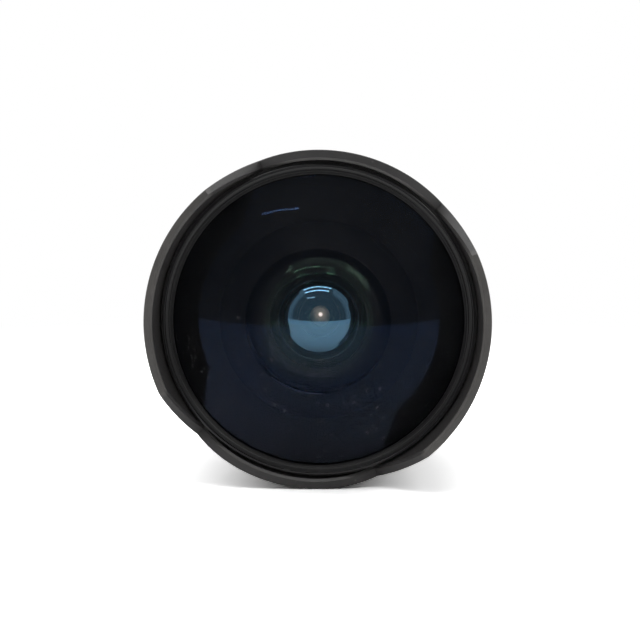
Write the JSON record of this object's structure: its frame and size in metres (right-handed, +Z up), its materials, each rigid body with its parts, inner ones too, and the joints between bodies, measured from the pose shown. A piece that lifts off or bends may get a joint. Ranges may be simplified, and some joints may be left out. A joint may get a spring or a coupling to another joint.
{
  "type": "fisheye lens",
  "caption": "Fisheye lens with a domed front glass, fixed petal hood, turning focus and aperture rings, and a bladed iris, on a rear bayonet mount.",
  "frame": {"origin": "centre of the mount flange's rear face, on the optical axis", "axes": "+Y along the optical axis towards the camera body, the front glass faces -Y, +Z up as the lens lies in the picture"},
  "size_m": [0.0748, 0.0834, 0.0748],
  "materials": {
    "hood_plastic": "fine matte moulding, satin at the rim",
    "ring_black": "satin black anodised",
    "inner_black": "flat black anodised, against reflections",
    "bare_metal": "machined, clear anodised",
    "mount_chrome": "polished hard chrome",
    "screw_steel": "blackened steel",
    "brass_parts": "spring-hard brass",
    "grip_rubber": "ribbed black rubber",
    "front_glass": "coated optical glass",
    "inner_glass": "coated optical glass",
    "index_white": "white bead",
    "blade_steel": "grey phosphate on spring steel"
  },
  "bodies": {
    "barrel": {"bayonet_mount": "mount_chrome", "mount_screws": "screw_steel", "mount_index_bead": "index_white", "rear_baffle": "inner_black", "rear_barrel": "ring_black", "rear_barrel_screws": "screw_steel", "click_spring": "brass_parts", "click_ball": "screw_steel", "main_barrel": "bare_metal", "scale_ring": "ring_black", "scale_ring_screws": "screw_steel", "rear_cell": "inner_black", "rear_cell_screws": "screw_steel", "lens_5": "inner_glass", "lens_6": "inner_glass", "lens_7": "inner_glass", "lens_8": "inner_glass", "lens_9": "inner_glass", "lens_10": "inner_glass", "mid_retaining_ring": "inner_black", "spacer_ring_7": "inner_black", "spacer_ring_9": "inner_black", "rear_retaining_ring": "inner_black", "iris_housing": "inner_black", "iris_screws": "screw_steel", "iris_snap_ring": "screw_steel", "front_barrel": "ring_black", "front_barrel_screws": "screw_steel", "front_baffle": "inner_black", "front_lens": "front_glass", "front_seal": "grip_rubber", "front_retaining_ring": "ring_black", "hood": "hood_plastic", "hood_screws": "screw_steel"},
    "focus": {"focus_ring": "ring_black", "focus_grip": "grip_rubber", "focus_cam": "bare_metal", "focus_ring_screws": "screw_steel"},
    "focus_cell": {"focus_cell": "inner_black", "cam_followers": "screw_steel", "lens_2": "inner_glass", "lens_3": "inner_glass", "lens_4": "inner_glass", "second_retaining_ring": "inner_black", "fore_retaining_ring": "inner_black"},
    "aperture": {"aperture_ring": "ring_black", "aperture_pin": "screw_steel", "aperture_arm": "brass_parts", "iris_cam_ring": "inner_black"},
    "blade_1": {"iris_blade_1": "blade_steel"},
    "blade_2": {"iris_blade_2": "blade_steel"},
    "blade_3": {"iris_blade_3": "blade_steel"},
    "blade_4": {"iris_blade_4": "blade_steel"},
    "blade_5": {"iris_blade_5": "blade_steel"},
    "blade_6": {"iris_blade_6": "blade_steel"}
  },
  "joints": [
    {"name": "focus_turn", "type": "hinge", "parent": "barrel", "child": "focus", "pos_m": [0, 0, 0], "axis": [0, 1, 0], "range_deg": [0, 100]},
    {"name": "focus_travel", "type": "slide", "parent": "barrel", "child": "focus_cell", "axis": [0, -1, 0], "range_m": [0, 0.002]},
    {"name": "aperture_turn", "type": "hinge", "parent": "barrel", "child": "aperture", "pos_m": [0, 0, 0], "axis": [0, 1, 0], "range_deg": [0, 45]},
    {"name": "blade_swing_1", "type": "hinge", "parent": "barrel", "child": "blade_1", "pos_m": [0.0104, -0.03448, 0], "axis": [0, 1, 0], "range_deg": [0, 24.71]},
    {"name": "blade_swing_2", "type": "hinge", "parent": "barrel", "child": "blade_2", "pos_m": [0.0052, -0.03448, 0.00901], "axis": [0, 1, 0], "range_deg": [0, 24.71]},
    {"name": "blade_swing_3", "type": "hinge", "parent": "barrel", "child": "blade_3", "pos_m": [-0.0052, -0.03448, 0.00901], "axis": [0, 1, 0], "range_deg": [0, 24.71]},
    {"name": "blade_swing_4", "type": "hinge", "parent": "barrel", "child": "blade_4", "pos_m": [-0.0104, -0.03448, 0], "axis": [0, 1, 0], "range_deg": [0, 24.71]},
    {"name": "blade_swing_5", "type": "hinge", "parent": "barrel", "child": "blade_5", "pos_m": [-0.0052, -0.03448, -0.00901], "axis": [0, 1, 0], "range_deg": [0, 24.71]},
    {"name": "blade_swing_6", "type": "hinge", "parent": "barrel", "child": "blade_6", "pos_m": [0.0052, -0.03448, -0.00901], "axis": [0, 1, 0], "range_deg": [0, 24.71]}
  ],
  "couplings": [
    {"joint": "focus_travel", "follows": "focus_turn", "m_per_rad": 0.0011459},
    {"joint": "blade_swing_1", "follows": "aperture_turn", "ratio": 0.54904},
    {"joint": "blade_swing_2", "follows": "aperture_turn", "ratio": 0.54904},
    {"joint": "blade_swing_3", "follows": "aperture_turn", "ratio": 0.54904},
    {"joint": "blade_swing_4", "follows": "aperture_turn", "ratio": 0.54904},
    {"joint": "blade_swing_5", "follows": "aperture_turn", "ratio": 0.54904},
    {"joint": "blade_swing_6", "follows": "aperture_turn", "ratio": 0.54904}
  ]
}
